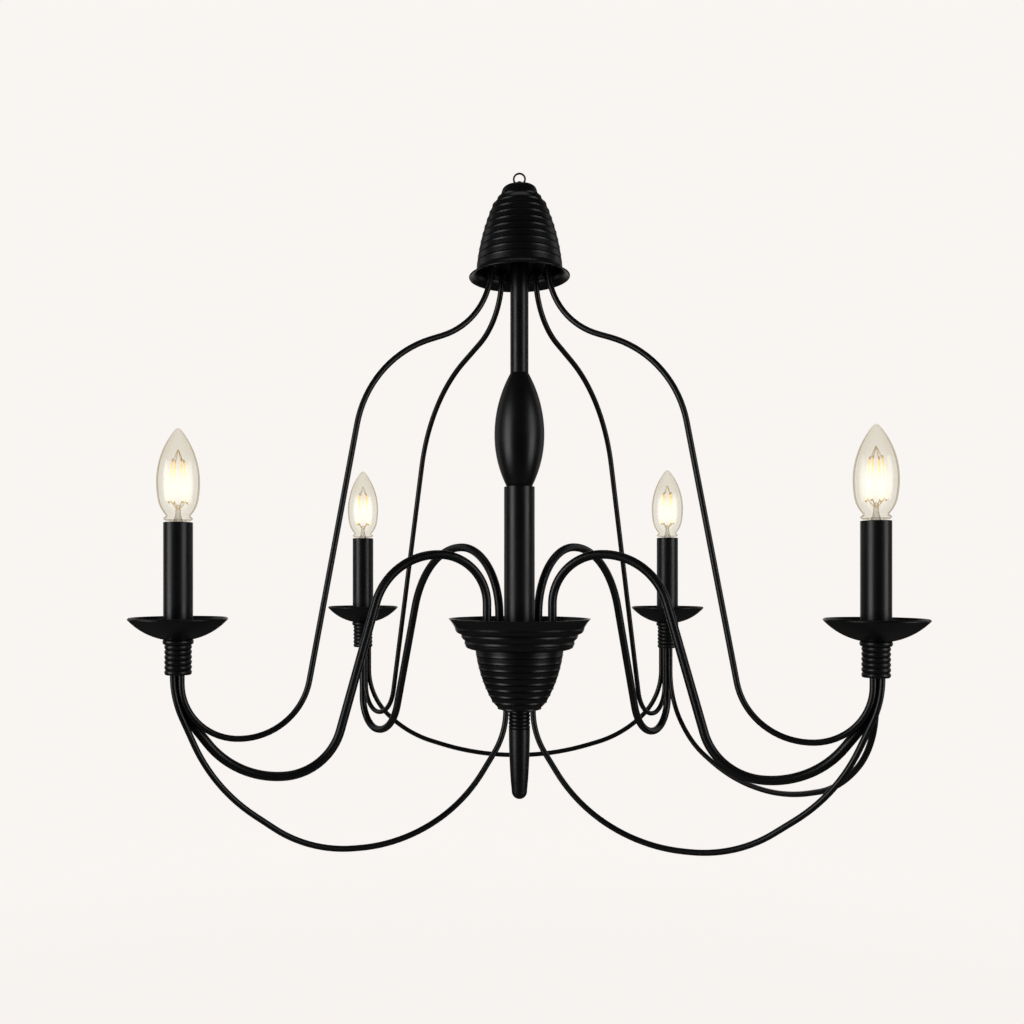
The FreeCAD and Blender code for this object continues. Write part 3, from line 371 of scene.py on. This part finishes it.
class Recipe:
    """A Geometry Nodes tree with named sizes, ending in one realized mesh with its material."""

    def __init__(self, name, **sizes):
        self.group = bpy.data.node_groups.new(name, "GeometryNodeTree")
        for size, value in sizes.items():
            kind = "NodeSocketInt" if isinstance(value, int) else "NodeSocketFloat"
            self.group.interface.new_socket(size, in_out="INPUT", socket_type=kind).default_value = value
        self.group.interface.new_socket("Finish", in_out="INPUT", socket_type="NodeSocketMaterial")
        self.group.interface.new_socket("Geometry", in_out="OUTPUT", socket_type="NodeSocketGeometry")
        self.sizes = self.group.nodes.new("NodeGroupInput")

    def size(self, name):
        return self.sizes.outputs[name]

    def add(self, kind, links=None, **values):
        node = self.group.nodes.new(kind)
        for key, value in values.items():
            setattr(node, key, value)
        for socket, source in (links or {}).items():
            if isinstance(source, bpy.types.NodeSocket):
                self.group.links.new(source, node.inputs[socket])
            else:
                node.inputs[socket].default_value = source
        return node

    def math(self, operation, a, b=0.0):
        return self.add("ShaderNodeMath", {0: a, 1: b}, operation=operation).outputs[0]

    def triple(self, x=0.0, y=0.0, z=0.0):
        return self.add("ShaderNodeCombineXYZ", {0: x, 1: y, 2: z}).outputs[0]

    def finish(self, geometry):
        real = self.add("GeometryNodeRealizeInstances", {0: geometry}).outputs[0]
        flat = self.add("GeometryNodeSetShadeSmooth", {"Geometry": real}).outputs[0]
        painted = self.add("GeometryNodeSetMaterial", {"Geometry": flat, "Material": self.size("Finish")})
        out = self.group.nodes.new("NodeGroupOutput")
        self.group.links.new(painted.outputs[0], out.inputs["Geometry"])
        return self

    def make(self, finish, **sizes):
        """The tree's result as a plain mesh."""
        holder = bpy.data.objects.new("holder", bpy.data.meshes.new("holder"))
        bpy.context.collection.objects.link(holder)
        modifier = holder.modifiers.new("recipe", "NODES")
        modifier.node_group = self.group
        for item in self.group.interface.items_tree:
            if item.in_out == "INPUT" and item.name == "Finish":
                modifier[item.identifier] = finish
            elif item.in_out == "INPUT" and item.name in sizes:
                modifier[item.identifier] = sizes[item.name]
        bpy.context.view_layer.update()
        graph = bpy.context.evaluated_depsgraph_get()
        mesh = bpy.data.meshes.new_from_object(holder.evaluated_get(graph), depsgraph=graph)
        bpy.data.objects.remove(holder)
        return mesh


def screw_thread():
    """A round ridge that winds up a cylinder."""
    tree = Recipe("screw_thread", Radius=0.0066, Ridge=0.0007, Pitch=0.00282, Turns=4.5, Foot=0.0, X=0.0,
                  Y=0.0)
    height = tree.math("MULTIPLY", tree.size("Pitch"), tree.size("Turns"))
    helix = tree.add("GeometryNodeCurveSpiral", {"Resolution": 40, "Rotations": tree.size("Turns"),
                                                 "Start Radius": tree.size("Radius"),
                                                 "End Radius": tree.size("Radius"), "Height": height})
    section = tree.add("GeometryNodeCurvePrimitiveCircle", {"Resolution": 10, "Radius": tree.size("Ridge")})
    ridge = tree.add("GeometryNodeCurveToMesh", {"Curve": helix.outputs[0],
                                                 "Profile Curve": section.outputs[0], "Fill Caps": True})
    place = tree.triple(tree.size("X"), tree.size("Y"), tree.size("Foot"))
    moved = tree.add("GeometryNodeTransform", {"Geometry": ridge.outputs[0], "Translation": place})
    return tree.finish(moved.outputs[0])


def leaning_bars():
    """Even bars round an upright axis, from a foot circle to a head circle."""
    tree = Recipe("leaning_bars", Count=4, Turn=math.pi / 4, Bar=0.001, Foot=0.0, Foot_spread=0.008,
                  Head=0.03, Head_spread=0.006, X=0.0, Y=0.0)
    line = tree.add("GeometryNodeCurvePrimitiveLine",
                    {"Start": tree.triple(tree.size("Foot_spread"), 0.0, tree.size("Foot")),
                     "End": tree.triple(tree.size("Head_spread"), 0.0, tree.size("Head"))})
    section = tree.add("GeometryNodeCurvePrimitiveCircle", {"Resolution": 14, "Radius": tree.size("Bar")})
    bar = tree.add("GeometryNodeCurveToMesh", {"Curve": line.outputs[0], "Profile Curve": section.outputs[0],
                                               "Fill Caps": True})
    places = tree.add("GeometryNodePoints", {"Count": tree.size("Count"),
                                             "Position": tree.triple(tree.size("X"), tree.size("Y"), 0.0)})
    step = tree.math("DIVIDE", 2 * math.pi, tree.size("Count"))
    index = tree.add("GeometryNodeInputIndex").outputs[0]
    angle = tree.math("ADD", tree.math("MULTIPLY", index, step), tree.size("Turn"))
    ring = tree.add("GeometryNodeInstanceOnPoints", {"Points": places.outputs[0], "Instance": bar.outputs[0],
                                                     "Rotation": tree.triple(0.0, 0.0, angle)})
    return tree.finish(ring.outputs[0])


# ---------------------------------------------------------------- bulbs
# Heights count from the bead, the glass envelope's lower end; spreads and radii from the bulb's axis.
STRIP_FOOT, STRIP_HEAD = 0.016, 0.049
STRIP_FOOT_SPREAD, STRIP_HEAD_SPREAD = 0.0082, 0.0054
STRIP_RADIUS = 0.00065
TIP_RADIUS = 0.00075         # plated ends of the strips
TIP_LENGTH = 0.0020
TIP_OVERLAP = 0.0002
TIP_LEAN = 0.0006
APEX, APEX_SPREAD = 0.059, 0.0003      # where the upper wires meet
UPPER_WIRE_RADIUS = 0.00032
UPPER_WIRE_START = 0.0015    # below the strips' heads
LOWER_WIRE_RADIUS = 0.00038
ROOT_DEPTH, ROOT_SPREAD = 0.004, 0.0010     # where the lower wires leave the stem
STEM_HEAD = 0.0135
STEM_TIP_RADIUS = 0.0019
STEM_NECK, STEM_NECK_RADIUS = 0.008, 0.0021
STEM_RADIUS = 0.0058
CAP_DROP = 0.002             # bead down to the cap's rim
CAP_LENGTH = 0.019
CAP_RADIUS = 0.0069
CAP_CROWN, CAP_CROWN_RADIUS = 0.0030, 0.0047     # the shell's turn inwards, up from the cap's foot
CAP_INSIDE_RADIUS = 0.0054
CAP_HOLE_RADIUS = 0.0044
THREAD_DEPTH = 0.0007
THREAD_RIDGE, THREAD_TURNS = 0.00075, 4.6
INSULATOR_RADIUS, INSULATOR_TIP_RADIUS = 0.0046, 0.0026
INSULATOR_DROP = 0.0009      # below the cap's foot
CONTACT_RADIUS = 0.0028
LINING_OUTSIDE, LINING_INSIDE = 0.00729, 0.00712
SOCKET_FLOOR = 0.0032        # cap's foot down to the socket's floor

thread_recipe = screw_thread()
bar_recipe = leaning_bars()
stem_finish = stem_glass(bead_level)
wire_finish = mount_wire()


def bulb_mount(station, x, y, bead):
    """Glass stem, four lit strips with plated ends, and the wires that hold them."""
    body = station + "_bulb"
    centre = (x, y)
    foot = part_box(station + "_bulb_filament")[0][2]
    stem = [(0.0, bead + STEM_HEAD)]
    stem += arc_points((0.0006, bead + STEM_HEAD), (STEM_TIP_RADIUS, bead + STEM_HEAD - 0.0012), 0.0003, 4)
    stem += arc_points((STEM_NECK_RADIUS, bead + STEM_NECK), (STEM_RADIUS, bead - 0.003), -0.0009, 8)
    stem += [(STEM_RADIUS, foot + 0.0004), (STEM_RADIUS - 0.0004, foot), (0.0, foot)]
    whole(station + "_mount_stem", lathe(stem, centre, 40), stem_finish, body)
    strips = bar_recipe.make(finishes["filament_glow"], Bar=STRIP_RADIUS, Foot=bead + STRIP_FOOT,
                             Head=bead + STRIP_HEAD, Foot_spread=STRIP_FOOT_SPREAD,
                             Head_spread=STRIP_HEAD_SPREAD, X=x, Y=y)
    whole(station + "_lit_strips", strips, None, body, [station + "_bulb_filament"])
    wires = bmesh.new()
    foot_z, head_z = bead + STRIP_FOOT, bead + STRIP_HEAD
    for size in (dict(Bar=UPPER_WIRE_RADIUS, Foot=head_z - UPPER_WIRE_START, Head=bead + APEX,
                      Foot_spread=STRIP_HEAD_SPREAD, Head_spread=APEX_SPREAD),
                 dict(Bar=LOWER_WIRE_RADIUS, Foot=bead + STEM_HEAD - ROOT_DEPTH, Head=foot_z + 0.002,
                      Foot_spread=ROOT_SPREAD, Head_spread=STRIP_FOOT_SPREAD),
                 dict(Bar=TIP_RADIUS, Foot=head_z - TIP_OVERLAP, Head=head_z + TIP_LENGTH + TIP_OVERLAP,
                      Foot_spread=STRIP_HEAD_SPREAD, Head_spread=STRIP_HEAD_SPREAD - TIP_LEAN),
                 dict(Bar=TIP_RADIUS, Foot=foot_z - TIP_LENGTH + TIP_OVERLAP, Head=foot_z + TIP_OVERLAP,
                      Foot_spread=STRIP_FOOT_SPREAD, Head_spread=STRIP_FOOT_SPREAD)):
        part_mesh = bar_recipe.make(wire_finish, X=x, Y=y, **size)
        wires.from_mesh(part_mesh)
        bpy.data.meshes.remove(part_mesh)
    wire_mesh = bpy.data.meshes.new("mount_wires")
    wires.to_mesh(wire_mesh)
    wires.free()
    smooth(wire_mesh, 40.0)
    whole(station + "_mount_wires", wire_mesh, wire_finish, body)


def bulb_cap(station, x, y, bead):
    """Rolled screw cap with its thread, the dark glass insulator and the soldered contact."""
    body = station + "_bulb"
    centre = (x, y)
    top = bead - CAP_DROP
    foot = top - CAP_LENGTH
    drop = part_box(station + "_bulb_cap")[0][2]
    root = CAP_RADIUS - THREAD_DEPTH
    shell = [(CAP_RADIUS - 0.0005, top), (CAP_RADIUS - 0.0001, top), (CAP_RADIUS - 0.0001, top - 0.0022)]
    shell += arc_points((CAP_RADIUS - 0.0002, top - 0.0026), (root, top - 0.0036), -0.0002, 3)
    shell += arc_points((root, foot + CAP_CROWN), (CAP_CROWN_RADIUS, foot + 0.0004), 0.0005, 6)
    shell += [(CAP_HOLE_RADIUS, foot + 0.0004), (CAP_HOLE_RADIUS, foot + 0.0010),
              (CAP_INSIDE_RADIUS, foot + 0.0032), (CAP_INSIDE_RADIUS, top)]
    whole(station + "_cap_shell", lathe(shell, centre, 64, closed=True), finishes["cap_metal"], body,
          [station + "_bulb_cap"])
    thread = thread_recipe.make(finishes["cap_metal"], Radius=root - 0.0001, Ridge=THREAD_RIDGE,
                                Turns=THREAD_TURNS, Foot=foot + 0.0034, X=x, Y=y)
    whole(station + "_cap_thread", thread, None, body)
    glass = [(0.0, foot + 0.0008), (INSULATOR_RADIUS, foot + 0.0006), (CAP_HOLE_RADIUS, foot - 0.0001)]
    tip = foot - INSULATOR_DROP
    glass += arc_points((0.0040, foot - 0.0004), (INSULATOR_TIP_RADIUS, tip), 0.0001, 3) + [(0.0, tip)]
    whole(station + "_cap_insulator", lathe(glass, centre, 48), finishes["black_plastic"], body)
    dome = [(0.0, foot - 0.0006), (CONTACT_RADIUS, foot - 0.0006)]
    dome += arc_points((CONTACT_RADIUS, foot - 0.0010), (0.0004, drop), 0.0005, 6) + [(0.0, drop)]
    whole(station + "_cap_contact", lathe(dome, centre, 40), finishes["zinc_steel"], body)


def socket_lining(station, x, y, bead):
    """Metal lining and the spring contact inside the lampholder."""
    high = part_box(station + "_lampholder")[1][2]
    floor = bead - CAP_DROP - CAP_LENGTH - SOCKET_FLOOR
    lining = [(LINING_OUTSIDE, high - 0.0030), (LINING_INSIDE, high - 0.0030),
              (LINING_INSIDE, floor + 0.004), (LINING_OUTSIDE, floor + 0.004)]
    whole(station + "_socket_lining", lathe(lining, (x, y), 64, closed=True), finishes["cap_metal"], "frame")
    spring = [(0.0, floor + 0.0009), (0.0030, floor + 0.0007), (0.0034, floor + 0.0001),
              (0.0, floor + 0.0001)]
    whole(station + "_socket_contact", lathe(spring, (x, y), 40), finishes["cap_metal"], "frame")


for station_name in STATIONS:
    glass_low, glass_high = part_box(station_name + "_bulb_glass")
    bulb_x, bulb_y = ((glass_low[k] + glass_high[k]) / 2 for k in (0, 1))
    bulb_mount(station_name, bulb_x, bulb_y, bead_level)
    bulb_cap(station_name, bulb_x, bulb_y, bead_level)
    socket_lining(station_name, bulb_x, bulb_y, bead_level)


# ---------------------------------------------------------------- camera
camera_data = bpy.data.cameras.new("camera")
camera = bpy.data.objects.new("camera", camera_data)
bpy.context.collection.objects.link(camera)
camera.location = (-0.0221, -0.8986, -0.3687)
camera.rotation_euler = (math.radians(90.0), 0.0, math.radians(2.304))
camera_data.sensor_width = 36.0
camera_data.lens = 34.51
camera_data.shift_x = 0.0550
camera_data.shift_y = 0.0645
camera_data.clip_start = 0.01
camera_data.clip_end = 60.0
bpy.context.scene.camera = camera


# ---------------------------------------------------------------- studio
PALE = (0.9473, 0.9131, 0.8880)
FLOOR_LEVEL = -3.0
FLOOR_HALF = 13.5            # half the floor's width


def behind(finish, way, low, high):
    """How far something lies behind the piece, 0 at low and 1 at high."""
    depth = finish.add("ShaderNodeSeparateXYZ", {0: way}).outputs[1]
    return finish.add("ShaderNodeMapRange", {"Value": depth, "From Min": low, "From Max": high},
                      interpolation_type="SMOOTHSTEP").outputs["Result"]


def shown_pale(finish, backing):
    """Share of the pale colour: whole to the camera and through glass, and in reflections of the back."""
    paths = finish.add("ShaderNodeLightPath").outputs
    mirrored = product(finish, paths["Is Glossy Ray"], backing)
    seen = finish.add("ShaderNodeMath", {0: paths["Is Camera Ray"], 1: paths["Is Transmission Ray"]},
                      operation="MAXIMUM").outputs[0]
    return finish.add("ShaderNodeMath", {0: seen, 1: mirrored}, operation="MAXIMUM").outputs[0]


def pale_backdrop():
    """Pale paper that the lamps light and shade, with its own paleness added where it is seen."""
    paper = Finish("pale_backdrop")
    fibre = paper.noise(400.0, 3.0, 0.6)
    paper.link(paper.ramp(fibre, 0.3, 0.7, (0.33, 0.32, 0.31), (0.37, 0.36, 0.35)), "Base Color")
    paper.set(Roughness=0.9)
    away = paper.add("ShaderNodeVectorMath", {0: paper.place}, operation="LENGTH").outputs["Value"]
    strength = product(paper, shown_pale(paper, behind(paper, paper.place, 9.0, 21.0)),
                       paper.spread(away, 3.0, 9.0, 0.92, 0.985))
    glow = paper.add("ShaderNodeEmission", {"Color": (*PALE, 1.0), "Strength": strength})
    both = paper.add("ShaderNodeAddShader", {0: paper.shader.outputs[0], 1: glow.outputs[0]})
    paper.tree.links.new(both.outputs[0], paper.output.inputs["Surface"])
    return paper.material


def floor_piece():
    """A wide plain floor well under the hanging piece."""
    mesh = bpy.data.meshes.new("floor")
    corners = ((-1, -1), (1, -1), (1, 1), (-1, 1))
    mesh.from_pydata([(x * FLOOR_HALF, y * FLOOR_HALF, FLOOR_LEVEL) for x, y in corners],
                     [], [(0, 1, 2, 3)])
    floor = bpy.data.objects.new("floor", mesh)
    bpy.context.collection.objects.link(floor)
    mesh.materials.append(pale_backdrop())


floor_piece()

studio = Surround("studio")
dim = studio.add("ShaderNodeBackground", {"Color": (0.9, 0.9, 0.92, 1.0), "Strength": 0.020})
pale = studio.add("ShaderNodeBackground", {"Color": (*PALE, 1.0), "Strength": 1.0})
shown = shown_pale(studio, behind(studio, studio.place, 0.80, 1.0))
mixed_sky = studio.add("ShaderNodeMixShader", {0: shown, 1: dim.outputs[0], 2: pale.outputs[0]})
studio.tree.links.new(mixed_sky.outputs[0], studio.output.inputs["Surface"])
bpy.context.scene.world = studio.world


def softbox(name, place, aim_level, width, height, power):
    """Rectangular lamp that faces the column at aim_level."""
    data = bpy.data.lights.new(name, "AREA")
    data.shape = "RECTANGLE"
    data.size = width
    data.size_y = height
    data.energy = power
    lamp = bpy.data.objects.new(name, data)
    bpy.context.collection.objects.link(lamp)
    lamp.location = place
    lamp.rotation_euler = (Vector((0.0, 0.0, aim_level)) - Vector(place)).to_track_quat("-Z", "Y").to_euler()


softbox("left_softbox", (-3.3, -2.1, 0.0), -0.35, 1.9, 3.1, 62.0)
softbox("right_softbox", (3.3, -1.9, 0.0), -0.35, 1.7, 3.1, 43.0)
softbox("back_left_softbox", (-3.3, 2.2, 0.6), -0.35, 1.6, 4.0, 9.0)
softbox("back_right_softbox", (3.3, 2.2, 0.6), -0.35, 1.6, 4.0, 9.0)
softbox("top_softbox", (0.0, 0.35, 2.6), -0.3, 1.6, 0.8, 2.5)

bpy.context.scene.view_settings.view_transform = "Standard"
